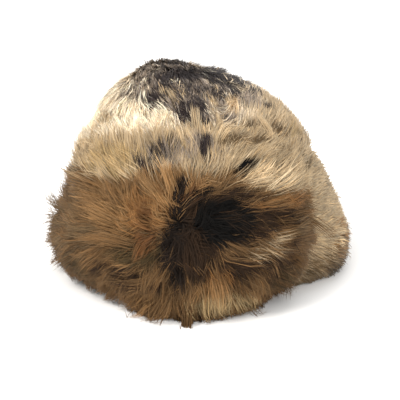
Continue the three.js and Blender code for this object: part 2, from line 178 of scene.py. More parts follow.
BROW_MARKINGS = (
    ("khaki", -18, 119, 32, 14, 0.9), ("khaki", 4, 130, 20, 8, 0.6),
    ("cream", -58, 118, 16, 16, 0.85), ("warm_cream", 50, 106, 28, 12, 0.55, -10),
    ("drab", 46, 132, 26, 5, 0.85, -12), ("cream", -20, 140, 34, 9, 0.8),
    ("smoke", 2, 126, 20, 12, 0.45), ("smoke", 20, 130, 24, 12, 0.4),
    ("dusk", 1, 128, 3, 9, 0.55, 8), ("dusk", 8, 133, 3, 9, 0.5),
    ("dusk", -4, 119, 5.5, 9, 0.95, 30), ("dusk", 24, 131, 5, 13, 0.95, -10),
    ("black", 40, 117, 13, 4.5, 0.95, 26), ("drab", 66, 112, 14, 8, 0.5, 20),
    ("drab", -38, 60, 44, 44, 0.5), ("tan", 8, 112, 28, 9, 0.75),
    ("tan", -18, 84, 34, 18, 0.45), ("orange", -2, 88, 18, 18, 0.85),
    ("tan", 3, 98, 9, 14, 0.6, 20), ("chestnut", 16, 101, 14, 10, 0.6),
    ("olive", -3, 55, 22, 14, 0.88, 4), ("umber", -14, 38, 20, 5, 0.6, 10),
    ("umber", -4, 30, 26, 6, 0.55), ("tan", -8, 43, 14, 3.5, 0.6, -10),
    ("olive", -34, 24, 30, 9, 0.6), ("chestnut", -1, 74, 9, 24, 0.6),
    ("umber", 16, 62, 21, 33, 0.97), ("umber", 22, 84, 20, 20, 1.0),
    ("soot", 11, 102, 4.5, 14, 1.0, -8), ("soot", 10, 84, 8, 13, 0.9),
    ("black", 9, 74, 5, 10, 0.5), ("soot", 8, 61, 8, 20, 0.9, 3),
    ("soot", 11, 38, 6.5, 14, 0.85, -6), ("umber", 31, 83, 34, 20, 0.85, -10),
    ("black", 28, 83, 23, 15, 0.96, -12), ("black", 24, 73, 12, 12, 0.75),
    ("black", 19, 102, 13, 3, 0.8, 30), ("umber", 33, 102, 18, 3.5, 0.8, -5),
    ("orange", 52, 88, 32, 4.5, 0.7, -8), ("umber", 50, 76, 24, 10, 0.7, -14),
    ("drab", 62, 62, 22, 14, 0.5, -10), ("beige", 43, 57, 16, 3.6, 0.85, 22),
    ("umber", 46, 48, 24, 5, 0.9, 20), ("umber", 31, 43, 15, 10, 0.85, 8),
    ("umber", 47, 34, 16, 7, 0.8, 20), ("olive", 54, 24, 30, 9, 0.5),
    ("orange", 24, 38, 11, 8, 0.7), ("tan", 20, 26, 20, 8, 0.75),
    ("khaki", 26, 14, 28, 8, 0.8), ("umber", 48, 10, 26, 6, 0.5),
    ("tan", 2, 12, 24, 8, 0.4),
)
NAPE_MARKINGS = (
    ("tan", 92, 30, 30, 16, 0.35), ("drab", 90, 12, 60, 14, 0.5),
    ("umber", 98, 5, 60, 8, 0.4), ("beige", 130, 60, 40, 20, 0.5),
    ("drab", 175, 40, 40, 26, 0.45), ("umber", 180, 12, 60, 10, 0.4),
    ("drab", 240, 30, 50, 30, 0.5), ("umber", 292, 14, 26, 14, 0.75),
)

# The height of the line on the brow flap where its brown fur gives way to beige.
BROW_LINE = np.array([
    (-73, 84), (-50, 89), (-30, 104), (-13, 111), (2, 113), (15, 113),
    (26, 113), (34, 109), (40, 103), (49, 96), (63, 88), (73, 84),
])


def metres(name, description, default):
    return bpy.props.FloatProperty(
        name=name, description=description, default=default, min=0, unit="LENGTH", precision=4,
    )


def fur_colour(name, description, default):
    return bpy.props.FloatVectorProperty(
        name=name, description=description, default=default, min=0, max=1, size=3,
        subtype="COLOR_GAMMA",
    )


class FurCapSizes(bpy.types.PropertyGroup):
    """Lengths of the cap's fur"""

    crown_length: metres("Crown hair", "Length of the crown's guard hair", 0.026)
    brow_length: metres("Brow hair", "Length of the brow flap's guard hair", 0.026)
    nape_length: metres("Nape hair", "Length of the nape flap's guard hair", 0.018)
    underfur_length: metres("Underfur", "Length of the dense fur at the skin", 0.014)
    strand_width: metres("Strand width", "Width of one blade of guard hair", 0.00045)


class FurCapColours(bpy.types.PropertyGroup):
    """Colours of the coat"""

    cream: fur_colour("Cream", "Palest fur, at the crown's side", (0.97, 0.90, 0.79))
    warm_cream: fur_colour("Warm cream", "Pale fur with a yellow cast", (0.87, 0.76, 0.60))
    beige: fur_colour("Beige", "Pale fur of the flaps' upper edge", (0.71, 0.62, 0.49))
    khaki: fur_colour("Khaki", "Greenish tan fur", (0.67, 0.57, 0.41))
    smoke: fur_colour("Smoke", "Grey-beige tips", (0.58, 0.52, 0.46))
    tan: fur_colour("Tan", "Light brown fur", (0.575, 0.435, 0.28))
    orange: fur_colour("Orange brown", "Warm fur of the whorl", (0.53, 0.375, 0.22))
    chestnut: fur_colour("Chestnut", "Reddish brown fur", (0.43, 0.29, 0.17))
    brown: fur_colour("Brown", "Main colour of the brow flap", (0.465, 0.35, 0.225))
    drab: fur_colour("Drab", "Greyish brown fur", (0.41, 0.33, 0.23))
    olive: fur_colour("Olive", "Dark greenish brown fur", (0.28, 0.225, 0.14))
    umber: fur_colour("Umber", "Dark brown fur", (0.195, 0.135, 0.085))
    dusk: fur_colour("Dusk", "Nearly black tips with a violet cast", (0.20, 0.165, 0.16))
    soot: fur_colour("Soot", "Brown-black fur of the stripe", (0.125, 0.088, 0.062))
    black: fur_colour("Black", "Blackest fur, on the saddle mark", (0.032, 0.023, 0.016))
    suede: fur_colour("Suede", "Tanned inner side of the crown", (0.62, 0.51, 0.38))


class FurCapStage(bpy.types.PropertyGroup):
    """Floor, light and camera"""

    floor_colour: fur_colour("Floor", "Colour of the floor", (0.97, 0.97, 0.97))
    azimuth: bpy.props.FloatProperty(
        name="Azimuth", description="Camera's turn from the brow towards +X",
        default=math.radians(18), subtype="ANGLE",
    )
    elevation: bpy.props.FloatProperty(
        name="Elevation", description="Camera's angle above the floor",
        default=math.radians(22), subtype="ANGLE",
    )
    distance: metres("Distance", "From the camera to the cap's middle", 1.4)
    view_width: metres("View width", "Width of the view at the cap's middle", 0.334)
    target_height: metres("Target height", "Height of the view's middle", 0.0496)


def linear(colour):
    """A display colour in scene-linear values."""
    colour = np.asarray(colour, float)
    return np.where(colour <= 0.04045, colour / 12.92, ((colour + 0.055) / 1.055) ** 2.4)


def ease(values, low, high):
    """From 0 at low to 1 at high, with soft ends."""
    t = np.clip((values - low) / (high - low), 0, 1)
    return t * t * (3 - 2 * t)


def turn(start, end):
    """How far round the cap one angle lies from another, from -180 to 180 degrees."""
    return (end - start + 180) % 360 - 180


def unit(vectors):
    return vectors / np.maximum(np.linalg.norm(vectors, axis=-1, keepdims=True), 1e-9)


def columns(table, rows):
    """A table's columns at fractional rows, on smooth curves through its rows."""
    last = len(table) - 1
    rows = np.clip(rows, 0, last)
    start = np.minimum(np.floor(rows).astype(int), last - 1)
    a, b, c, d = (table[np.clip(start + step, 0, last)] for step in (-1, 0, 1, 2))
    t = (rows - start)[..., None]
    bend = 2 * a - 5 * b + 4 * c - d
    twist = 3 * b - 3 * c + d - a
    return np.moveaxis(b + t * (c - a + t * (bend + t * twist)) / 2, -1, 0)


FINE_ROWS = np.linspace(0, CROWN_TOP, 1601)
FINE_HEIGHTS = columns(CROWN_SECTIONS, FINE_ROWS)[0]


def crown_skin(angle, row):
    height, half_width, half_length, lean = columns(CROWN_SECTIONS, row)
    dent = np.zeros_like(height)
    for at, dent_height, depth, width, rise in CROWN_DENTS:
        across = turn(at, angle) / width
        up = (height - dent_height) / rise
        dent = dent + depth * np.exp(-across * across - up * up)
    inset = np.minimum(dent, MOST_INSET * half_width)
    turned = np.radians(angle)
    x = lean + (half_width - inset) * np.sin(turned)
    y = CROWN_CENTRE_Y - (half_length - inset) * np.cos(turned)
    return np.stack([x, y, height], -1)


def beside_crown(angle, height, stand):
    """Points level with the crown's skin at a height, moved straight outwards."""
    row = np.interp(height, FINE_HEIGHTS, FINE_ROWS)
    step = 0.05
    way = crown_skin(angle + step, row) - crown_skin(angle - step, row)
    way[..., 2] = 0
    way = unit(way)
    outward = np.stack([way[..., 1], -way[..., 0], way[..., 2]], -1)
    points = crown_skin(angle, row) + outward * stand[..., None]
    points[..., 2] = height
    return points


def from_end(flap, angle):
    start, end = flap["span"]
    return np.minimum(angle - start, end - angle)


def flap_hide(flap):
    """The outer face of a flap's hide, by angle and profile row."""

    def point(angle, row):
        share, stand = columns(flap["profile"], row)
        middle, width, more = flap["swell"]
        swell = more * np.exp(-((angle - middle) / width) ** 2)
        stand = stand * (1 + swell * (1 - ease(row, *SWELL_ROWS)))
        foot = np.interp(angle, *flap["foot"].T)
        height = foot + share * (np.interp(angle, *flap["top"].T) - foot)
        inward = ease(from_end(flap, angle), 0, flap["end_span"])
        fullness = flap["end_share"] + (1 - flap["end_share"]) * inward
        tucked = 1 - ease(angle - flap["span"][0], 0, flap["tuck_span"])
        fullness = fullness * (1 - flap["tuck"] * tucked * ease(share, 0.2, 0.72))
        return beside_crown(angle, height, np.maximum(stand * fullness, LEAST_STAND))

    return point


# Over its crest the crown's fur lies one way, towards the brow and a little to the right. That
# lie takes over between two heights, which are lower from the brow round to the right.
CREST = np.array([0.52, -0.85, 0]), 146, 152
CREST_DROP = 9
CREST_DROP_FROM = -35, -5  # degrees over which the drop begins, and over which it ends
CREST_DROP_TO = 108, 130
CREST_CROSSING = 147, 152  # heights over which hair leaves the skin's curve and arches instead
CREST_BEND = 170  # twice the radius of that arch


class Surface(typing.NamedTuple):
    """A hide's outer face, with the range of rows that hair follows and its coat's tables. The
    tables give a place's height on the skin, or on the fur a given depth above it."""

    point: typing.Callable
    low: float
    high: float
    lie: np.ndarray
    markings: tuple
    depth: float
    on_skin: bool
    crest: tuple = None

    def tangents(self, angle, row):
        """Directions per degree and per row."""
        turned = 0.1
        low = np.maximum(row - 0.02, self.low)
        high = np.minimum(row + 0.02, self.high)
        around = self.point(angle + turned, row) - self.point(angle - turned, row)
        up = self.point(angle, high) - self.point(angle, low)
        return around / (2 * turned), up / (high - low)[..., None]

    def stance(self, angle, row):
        """A place, its two directions and the one straight out."""
        around, up = self.tangents(angle, row)
        return self.point(angle, row), around, up, unit(np.cross(around, up))

    def height(self, angle, row):
        """The height by which the tables count a place."""
        if self.on_skin:
            return self.point(angle, row)[..., 2]
        place, _, _, out = self.stance(angle, row)
        return place[..., 2] + out[..., 2] * self.depth

    def heading(self, angle, row):
        """The lie at a place in radians, blended from the nearest rows of the table."""
        height = self.height(angle, row)
        apart = turn(self.lie[:, 0], angle[:, None]) * LIE_MM_PER_DEGREE
        distance = np.hypot(apart, height[:, None] - self.lie[:, 1])
        weight = 1 / (distance ** 3 + LIE_REACH)
        heading = np.radians(self.lie[:, 2])
        sine, cosine = weight @ np.sin(heading), weight @ np.cos(heading)
        if self.crest:
            way, low, high = self.crest
            size = np.hypot(sine, cosine)
            around, up = self.tangents(angle, row)
            side = turn(0, angle)
            begun = ease(side, *CREST_DROP_FROM)
            drop = CREST_DROP * begun * (1 - ease(side, *CREST_DROP_TO))
            share = ease(height + drop, low, high)
            sine = sine / size * (1 - share) + unit(up) @ way * share
            cosine = cosine / size * (1 - share) + unit(around) @ way * share
        return np.arctan2(sine, cosine)


def crown_face(angle, row):
    return crown_skin(angle, np.minimum(row, CROWN_TOP - 0.01))


CROWN_SURFACE = Surface(
    crown_face, 1.2, CROWN_TOP - 0.05, CROWN_LIE, CROWN_MARKINGS, 8, True, CREST,
)
BROW_SURFACE = Surface(flap_hide(BROW_FLAP), 0.6, 12.0, BROW_LIE, BROW_MARKINGS, 12, False)
NAPE_SURFACE = Surface(flap_hide(NAPE_FLAP), 0.6, 12.0, NAPE_LIE, NAPE_MARKINGS, 7, False)


def row_at(surface, angle, height):
    """The row at which a surface reaches a height of its tables."""
    rows = np.linspace(max(surface.low, 0 if surface.on_skin else FOLD_ROW), surface.high, 300)
    heights = np.maximum.accumulate(surface.height(np.full_like(rows, angle), rows))
    return float(np.interp(height, heights, rows))


def covered_height(angle):
    """The height up to which flaps hide the crown."""
    front = turn(0, angle)
    start, end = BROW_FLAP["span"]
    under_brow = (front > start) & (front < end)
    brow, nape = BROW_FLAP["top"].T, NAPE_FLAP["top"].T
    return np.where(under_brow, np.interp(front, *brow), np.interp(angle % 360, *nape))


def wander(points, size, seed):
    """Soft noise from -1 to 1 with hills of about the given size."""
    random = np.random.default_rng(seed)
    total = np.zeros(len(points))
    waves = 7
    for _ in range(waves):
        way = unit(random.normal(size=3)) * random.uniform(0.6, 1.7) / size
        total = total + np.sin(points @ way * 2 + random.uniform(0, 2 * math.pi))
    return total / math.sqrt(waves)


def scatter(surface, count, random, angles, rows, kept):
    """Roots spread evenly over a part of a surface, as angles and rows."""
    across, down = 240, 90
    edges = np.linspace(*angles, across + 1), np.linspace(*rows, down + 1)
    middles = [(edge[1:] + edge[:-1]) / 2 for edge in edges]
    angle, row = (grid.ravel() for grid in np.meshgrid(*middles))
    around, up = surface.tangents(angle, row)
    area = np.linalg.norm(np.cross(around, up), axis=1)
    if kept:
        area = area * kept(angle, row)
    cell = random.choice(len(area), count, p=area / area.sum())
    width, height = (edge[1] - edge[0] for edge in edges)
    angle = angle[cell] + random.uniform(-0.5, 0.5, count) * width
    row = row[cell] + random.uniform(-0.5, 0.5, count) * height
    return angle, np.clip(row, surface.low, surface.high)


ROOT_RISE = 1.4  # how much steeper a hair stands at its root
RISE_CURVE = 1.7  # how much of its rise is done early
ARCH_LEAN = 0.6  # how much of its lift an arching hair loses from its length


def comb(surface, angle, row, sway, bend, lift, length, segments):
    """Hairs from their roots: they follow the lie along the surface, bend and rise off it."""
    base, around, up, outward = surface.stance(angle, row)
    paths = [base]
    root, root_outward = base, outward
    crossing = np.zeros(len(angle))
    if surface.crest:
        crossing = ease(base[:, 2], *CREST_CROSSING)
        heading = surface.heading(angle, row) + sway
        straight = unit(around) * np.cos(heading)[:, None] + unit(up) * np.sin(heading)[:, None]
    for segment in range(1, segments + 1):
        share = segment / segments
        heading = surface.heading(angle, row) + sway + bend * (share - 0.5)
        step = length / segments * np.cos(lift * ROOT_RISE * (1 - share))
        around_size = np.maximum(np.linalg.norm(around, axis=1), 0.5)
        up_size = np.linalg.norm(up, axis=1)
        angle = angle + np.cos(heading) * step / around_size
        row = np.clip(row + np.sin(heading) * step / up_size, surface.low, surface.high)
        base, around, up, outward = surface.stance(angle, row)
        rise = length * np.sin(lift) * (1 - (1 - share) ** RISE_CURVE)
        tip = base + outward * rise[:, None]
        if surface.crest:
            gone = length * np.cos(lift * ARCH_LEAN) * share
            over = root + straight * gone[:, None]
            over = over + root_outward * (rise - gone ** 2 / CREST_BEND)[:, None]
            tip = tip * (1 - crossing[:, None]) + over * crossing[:, None]
        paths.append(tip)
    outward = unit(outward * (1 - crossing[:, None]) + root_outward * crossing[:, None])
    return np.stack(paths, 1), outward


LOCK_SPREAD = 0.3  # how far a lock's hairs keep the distance of their roots
HOLD_CURVE = 1.4  # how late along a hair the lock takes hold of it


def gather(paths, lock_paths, lock_of, hold):
    """Draws each hair's outer part towards its lock's middle."""
    middle = lock_paths[lock_of]
    target = middle + (paths[:, :1] - middle[:, :1]) * LOCK_SPREAD
    share = np.linspace(0, 1, paths.shape[1]) ** HOLD_CURVE
    pull = (hold[:, None] * share)[..., None]
    return paths * (1 - pull) + target * pull


def nearest(centres, points):
    tree = KDTree(len(centres))
    for index, centre in enumerate(centres):
        tree.insert(centre, index)
    tree.balance()
    return np.array([tree.find(point)[1] for point in points])


TABLE_GAP = 0.4


def on_table(paths):
    """Hair that would reach through the table lies on it instead."""
    paths[..., 2] += np.maximum(TABLE_GAP - paths[..., 2], 0)
    return paths


MARK_DEPTH = 40  # how far through the fur a marking is felt
MARK_EDGE = 0.72, 1.28  # where its edge starts and ends, in half sizes


def marked(surface, places, marking, warp):
    """How strongly a marking colours each place, from 0 to 1."""
    _, angle, height, half_width, half_height, strength, *tilt = marking
    row = np.array([row_at(surface, angle, height)])
    skin, around, up, out = surface.stance(np.array([float(angle)]), row)
    apart = places + warp - (skin + out * surface.depth)
    x = apart @ unit(around)[0]
    y = apart @ unit(up)[0]
    z = apart @ out[0]
    turned = math.radians(sum(tilt))
    along = (x * math.cos(turned) + y * math.sin(turned)) / half_width
    across = (y * math.cos(turned) - x * math.sin(turned)) / half_height
    away = np.sqrt(along ** 2 + across ** 2 + (z / MARK_DEPTH) ** 2)
    return strength * (1 - ease(away, *MARK_EDGE))


WARP_SIZE = 9  # markings' edges waver in hills of this size, to this height
WARP_HEIGHT = 2.6
GOLDEN_STEP = 0.6180339  # shifts every second marking's claims to other hairs


def ranks(draws):
    """Each draw's place in their order, from 0 to 1."""
    return np.argsort(np.argsort(draws)) / len(draws)


def coat_colours(surface, base, places, rank, seed):
    """Each place takes the colour of the last marking that claims it. Places of like rank are
    claimed together."""
    colours = bpy.context.scene.fur_cap_colours
    palette = {name: linear(getattr(colours, name)) for name in colours.__annotations__}
    chosen = base(places, palette)
    warp = [wander(places, WARP_SIZE, seed + axis) * WARP_HEIGHT for axis in range(3)]
    warp = np.stack(warp, 1)
    for index, marking in enumerate(surface.markings):
        claim = marked(surface, places, marking, warp)
        lot = (rank + index * GOLDEN_STEP) % 1 if index % 2 else rank
        chosen[lot < claim] = palette[marking[0]]
    return chosen


def crown_base(places, palette):
    """Cream, and beige to the right and behind."""
    side = ease(places[:, 0] + wander(places, 14, 5) * 9, 10, 60)
    back = ease(places[:, 1], 20, 60)
    mix = np.maximum(side, back)[:, None]
    return palette["cream"] * (1 - mix) + palette["beige"] * mix


def brow_base(places, palette):
    """Brown with painted shade that darkens it towards the foot, and beige over the brow line."""
    angle = np.degrees(np.arctan2(places[:, 0], CROWN_CENTRE_Y - places[:, 1]))
    line = np.interp(angle, *BROW_LINE.T) + wander(places, 10, 9) * 3
    pale = ease(places[:, 2], line - 2, line + 2)[:, None]
    # Painted shade: the brown darkens towards the foot, where the fur gets less light.
    shade = 0.78 + 0.22 * ease(places[:, 2], 25, 95)[:, None]
    return palette["brown"] * shade * (1 - pale) + palette["beige"] * pale


def nape_base(places, palette):
    """Beige, and drab towards the foot."""
    low = 1 - ease(places[:, 2] + wander(places, 12, 3) * 5, 4, 34)
    mix = low[:, None] * 0.6
    return palette["beige"] * (1 - mix) + palette["drab"] * mix


# Hairs catch the light mostly as the pile does, and by this share as single blades.
BLADE_SHARE = 0.35
TAPER = (0.8, 1.0, 0.8, 0.5)  # a blade's width from its root on, before its point
CELL_MARGIN = 0.15


def paint(mesh, colours):
    """Stores the coat's colours at a mesh's vertices."""
    colours = np.concatenate([colours, np.ones((len(colours), 1))], 1)
    tint = mesh.color_attributes.new("coat", "FLOAT_COLOR", "POINT")
    tint.data.foreach_set("color", colours.astype(np.float32).ravel())


def per_vertex(rings):
    """The values of blades' rings for both sides of each ring and for the point."""
    return np.concatenate([np.repeat(rings[:, :-1], 2, axis=1), rings[:, -1:]], 1).reshape(-1, 3)


def blade_mesh(name, paths, outward, widths, roll, colours):
    """One mesh of tapering blades, each in a cell of its own in the UV map."""
    count, rings, _ = paths.shape
    along = unit(np.gradient(paths, axis=1))
    facing = outward[:, None, :]
    side = unit(np.cross(along, facing))
    lifted = np.cross(side, along)
    side = side * np.cos(roll)[:, None, None] + lifted * np.sin(roll)[:, None, None]
    offsets = side[:, :-1] * (widths[:, None] * np.array(TAPER[:rings - 1]) / 2)[..., None]
    left = paths[:, :-1] - offsets
    right = paths[:, :-1] + offsets
    pairs = np.stack([left, right], 2).reshape(count, -1, 3)
    points = np.concatenate([pairs, paths[:, -1:]], 1)
    per_hair = points.shape[1]
    quads = rings - 2
    first = np.arange(count)[:, None] * per_hair
    corner = [[2 * k, 2 * k + 1, 2 * k + 3, 2 * k + 2] for k in range(quads)]
    tip = [per_hair - 3, per_hair - 2, per_hair - 1]
    pattern = np.array([index for face in corner for index in face] + tip)
    loops = (first + pattern).ravel()
    sizes = np.tile([4] * quads + [3], count)
    starts = np.concatenate([[0], np.cumsum(sizes)[:-1]])
    mesh = bpy.data.meshes.new(name)
    mesh.vertices.add(count * per_hair)
    mesh.vertices.foreach_set("co", (points * MM).astype(np.float32).ravel())
    mesh.loops.add(len(loops))
    mesh.loops.foreach_set("vertex_index", loops.astype(np.int32))
    mesh.polygons.add(len(sizes))
    mesh.polygons.foreach_set("loop_start", starts.astype(np.int32))
    mesh.update(calc_edges=True)
    paint(mesh, np.clip(per_vertex(colours), 0, 1))

    cells = math.ceil(math.sqrt(count))
    index = np.arange(count)
    cell = np.stack([index % cells, index // cells], 1)[:, None]
    heights = np.repeat(np.arange(rings - 1), 2)
    sides = np.tile([0, 1], rings - 1)
    inside = np.stack([sides, heights / (rings - 1)], 1)
    inside = np.concatenate([inside, [[0.5, 1]]])
    inside = CELL_MARGIN + (1 - 2 * CELL_MARGIN) * inside
    spots = ((cell + inside[None]) / cells).reshape(-1, 2)
    layer = mesh.uv_layers.new(name="OFBake")
    layer.uv.foreach_set("vector", spots[loops].astype(np.float32).ravel())
    mesh.shade_smooth()
    blade_face = unit(np.cross(side, along))
    blade_face = blade_face * np.sign((blade_face * facing).sum(-1, keepdims=True) + 1e-9)
    leaning = unit(facing * (1 - BLADE_SHARE) + blade_face * BLADE_SHARE)
    mesh.normals_split_custom_set_from_vertices(per_vertex(leaning).astype(np.float32))
    return mesh


def new_material(name):
    """A material with its node tree and its shader."""
    material = bpy.data.materials.new(name)
    material.use_nodes = True
    tree = material.node_tree
    return material, tree, tree.nodes["Principled BSDF"]


def set_inputs(tree, node, inputs):
    """Sets a node's inputs to values, or links them from other nodes' outputs."""
    for name, value in inputs.items():
        if isinstance(value, bpy.types.NodeSocket):
            tree.links.new(value, node.inputs[name])
        else:
            node.inputs[name].default_value = value


def noise(tree, scale, detail=2):
    place = tree.nodes.new("ShaderNodeTexCoord").outputs["Object"]
    node = tree.nodes.new("ShaderNodeTexNoise")
    set_inputs(tree, node, {"Vector": place, "Scale": scale, "Detail": detail})
    return node.outputs["Fac"]


def spread(tree, value, low, high, start=0, end=1):
    """Maps a value from its range to another."""
    node = tree.nodes.new("ShaderNodeMapRange")
    set_inputs(tree, node, {
        "Value": value, "From Min": start, "From Max": end, "To Min": low, "To Max": high,
    })
    return node.outputs["Result"]


def bumps(tree, height, strength, distance):
    node = tree.nodes.new("ShaderNodeBump")
    set_inputs(tree, node, {"Height": height, "Strength": strength, "Distance": distance})
    return node.outputs["Normal"]


def fur_material(name, roughness, sheen):
    """Hair: the coat's own colour, varied a little along and between strands."""
    material, tree, shader = new_material(name)
    coat = tree.nodes.new("ShaderNodeVertexColor")
    coat.layer_name = "coat"
    flecks = noise(tree, 260, 3)
    tint = tree.nodes.new("ShaderNodeVectorMath")
    tint.operation = "SCALE"
    set_inputs(tree, tint, {
        "Vector": coat.outputs["Color"], "Scale": spread(tree, flecks, 0.84, 1.12, 0.3, 0.7),
    })
    set_inputs(tree, shader, {
        "Base Color": tint.outputs["Vector"],
        "Roughness": spread(tree, flecks, roughness - 0.08, roughness + 0.1),
        "Normal": bumps(tree, noise(tree, 1400), 0.25, 0.0002),
        "Sheen Weight": sheen,
        "Sheen Roughness": 0.5,
        "Specular IOR Level": 0.12,
    })
    return material


def suede_material(name):
    """Tanned leather: a napped face with faint mottling."""
    material, tree, shader = new_material(name)
    mottle = noise(tree, 55, 6)
    suede = linear(bpy.context.scene.fur_cap_colours.suede)
    ramp = tree.nodes.new("ShaderNodeValToRGB")
    tree.links.new(mottle, ramp.inputs["Fac"])
    dark, pale = ramp.color_ramp.elements
    dark.position, dark.color = 0.32, (*(suede * 0.72), 1)
    pale.position, pale.color = 0.7, (*np.minimum(suede * 1.15, 1), 1)
    set_inputs(tree, shader, {
        "Base Color": ramp.outputs["Color"],
        "Roughness": spread(tree, mottle, 0.78, 0.95),
        "Normal": bumps(tree, noise(tree, 900, 4), 0.4, 0.0004),
        "Sheen Weight": 0.3,
        "Sheen Roughness": 0.6,
    })
    return material


def place_piece(mesh, materials, node=None):
    """Links a mesh as a piece of the cap, riding on its only body."""
    for material in materials:
        mesh.materials.append(material)
    piece = bpy.data.objects.new(mesh.name, mesh)
    bpy.context.scene.collection.objects.link(piece)
    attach(piece, "root")
    if node:
        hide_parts(node)


# How much locks and hairs differ from each other, as shares.
LOCK_LIFTS = 0.22
LOCK_LENGTHS = 0.18
LOCK_SHADES = 0.17
HAIR_LIFTS = 0.18
HAIR_LENGTHS = 0.72, 1.08
HAIR_HOLDS = 0.4, 1.0
HAIR_WIDTHS = 0.75, 1.25
HAIR_SHADES = 0.09
HAIR_WARMTHS = 0.05 * np.array([1.0, 0.2, -1.0])
DARK_HAIRS = 0.06  # this share of hairs is darker
DARK_SHADE = 0.62

# What a whorl adds at its middle.
WHORL_LIFT = 0.35
WHORL_SHORTER = 0.25
WHORL_TURN = 1.3

LOCKS_TOGETHER = 0.62  # how far a lock's hairs choose their colour together
OWN_PLACE = 0.6  # how far each part of a hair has its own place's colour, and not its tip's


def grow_hair(
    name, coat, seed, angles, rows, count, locks, length, width, loose, bend, sway, stray, lift,
    roll, hold, ramp, kept=None, whorl=None, reach=None, together=LOCKS_TOGETHER,
):
    """One piece of fur: roots, locks, combing, colour and the finished blades.

    Roots lie between two angles and two rows, where they are kept. Locks sway from the lie,
    and hairs stray from their lock's. They lift, bend and roll by so many degrees, and differ
    more if loose. A whorl is an angle, a height and a size. Hold is how firmly a lock gathers,
    reach a share of the length by place, and ramp a painted shade from root to tip, darker
    deep in the fur where the hairs shade each other."""
    slot, surface, base, material = coat
    random = np.random.default_rng(seed)
    segments = len(ramp) - 1
    lock_angle, lock_row = scatter(surface, locks, random, angles, rows, kept)
    angle, row = scatter(surface, count, random, angles, rows, kept)
    lock_roots = surface.point(lock_angle, lock_row)
    lock_of = nearest(lock_roots, surface.point(angle, row))

    lock_turn = np.radians(sway) * random.normal(size=locks)
    lock_lift = np.radians(lift) * np.exp(LOCK_LIFTS * loose * random.normal(size=locks))
    lock_length = length * np.exp(LOCK_LENGTHS * loose * random.normal(size=locks))
    if whorl:
        at, height, size = whorl
        apart = turn(at, lock_angle) * LIE_MM_PER_DEGREE
        above = surface.height(lock_angle, lock_row) - height
        whorled = np.exp(-(apart ** 2 + above ** 2) / size ** 2)
        lock_lift = lock_lift * (1 + WHORL_LIFT * whorled)
        lock_length = lock_length * (1 - WHORL_SHORTER * whorled)
        lock_turn = lock_turn * (1 + WHORL_TURN * whorled)
    lock_draw = random.uniform(size=locks)
    lock_shade = random.normal(size=locks)
    lock_bend = np.radians(bend) * random.normal(size=locks)
    if reach:
        lock_length = lock_length * reach(lock_angle, lock_row)
    lock_paths, _ = comb(
        surface, lock_angle, lock_row, lock_turn, lock_bend, lock_lift, lock_length, segments,
    )
    own_turn = lock_turn[lock_of] + np.radians(stray) * random.normal(size=count)
    own_lift = lock_lift[lock_of] * np.exp(HAIR_LIFTS * random.normal(size=count))
    own_length = lock_length[lock_of] * random.uniform(*HAIR_LENGTHS, count)
    paths, outward = comb(
        surface, angle, row, own_turn, lock_bend[lock_of], own_lift, own_length, segments,
    )
    hold = hold * random.uniform(*HAIR_HOLDS, count)
    paths = on_table(gather(paths, lock_paths, lock_of, hold))

    jitter = random.normal(size=(count, 3))
    rank = ranks(together * lock_draw[lock_of] + (1 - together) * random.uniform(size=count))
    near_tip = paths[:, -2] * (1 - OWN_PLACE) + jitter
    shades = [
        coat_colours(surface, base, paths[:, ring] * OWN_PLACE + near_tip, rank, seed)
        for ring in range(segments + 1)
    ]
    value = np.exp(HAIR_SHADES * random.normal(size=count) + LOCK_SHADES * lock_shade[lock_of])
    value = value * np.where(random.uniform(size=count) < DARK_HAIRS, DARK_SHADE, 1)
    warmth = 1 + random.normal(size=count)[:, None] * HAIR_WARMTHS
    shade = np.stack(shades, 1) * (value[:, None] * warmth)[:, None, :]
    # Painted shade: the ramp darkens each hair towards its root, deep in the fur's shadow.
    colours = shade * np.array(ramp)[None, :, None]
    widths = width * random.uniform(*HAIR_WIDTHS, count)
    roll = np.radians(roll) * random.normal(size=count)
    mesh = blade_mesh(name, paths, outward, widths, roll, colours)
    place_piece(mesh, [material])


UV_MARGIN = 0.01


def grid_shell(name, outer, inner, closed):
    """A closed shell between two grids of points, with rows joined over both edges."""
    ring = np.concatenate([outer, inner[:, ::-1]], 1)
    around, size, _ = ring.shape
    spans = around if closed else around - 1
    faces = []
    for column in range(spans):
        here = column * size
        there = (column + 1) % around * size
        for i in range(size):
            j = (i + 1) % size
            faces.append((here + i, there + i, there + j, here + j))
    if not closed:
        last = spans * size
        for i in range(size // 2 - 1):
            faces.append((i, i + 1, size - 2 - i, size - 1 - i))
            faces.append((last + i + 1, last + i, last + size - 1 - i, last + size - 2 - i))
    mesh = bpy.data.meshes.new(name)
    mesh.from_pydata((ring * MM).reshape(-1, 3).tolist(), [], faces)
    mesh.shade_smooth()
    spots = []
    for number, face in enumerate(faces):
        for index in face:
            column, i = divmod(index, size)
            if closed and number // size == around - 1 and column == 0:
                column = around
            if number < spans * size and number % size == size - 1 and i == 0:
                i = size
            spots.append((column / around, i / size))
    spots = np.array(spots) * (1 - 2 * UV_MARGIN) + UV_MARGIN
    layer = mesh.uv_layers.new(name="OFBake")
    layer.uv.foreach_set("vector", spots.astype(np.float32).ravel())
    mesh.update()
    return mesh


# Painted shade: the hide takes this share of the fur's colour, as the shadow between the hairs.
HIDE_SHADE = 0.55  # of the fur's own colour


def tint_hide(mesh, surface, base, seed):
    """Colours a hide as the fur over it, darkened by painted shade, so that it shows between
    the hairs as the shadow deep in the fur.
    """
    count = len(mesh.vertices)
    places = np.zeros(count * 3)
    mesh.vertices.foreach_get("co", places)
    places = places.reshape(-1, 3) / MM
    rank = ranks(np.full(count, 0.5))
    paint(mesh, coat_colours(surface, base, places, rank, seed) * HIDE_SHADE)


CROWN_HIDE_RISE = 0.6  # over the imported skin's outer face


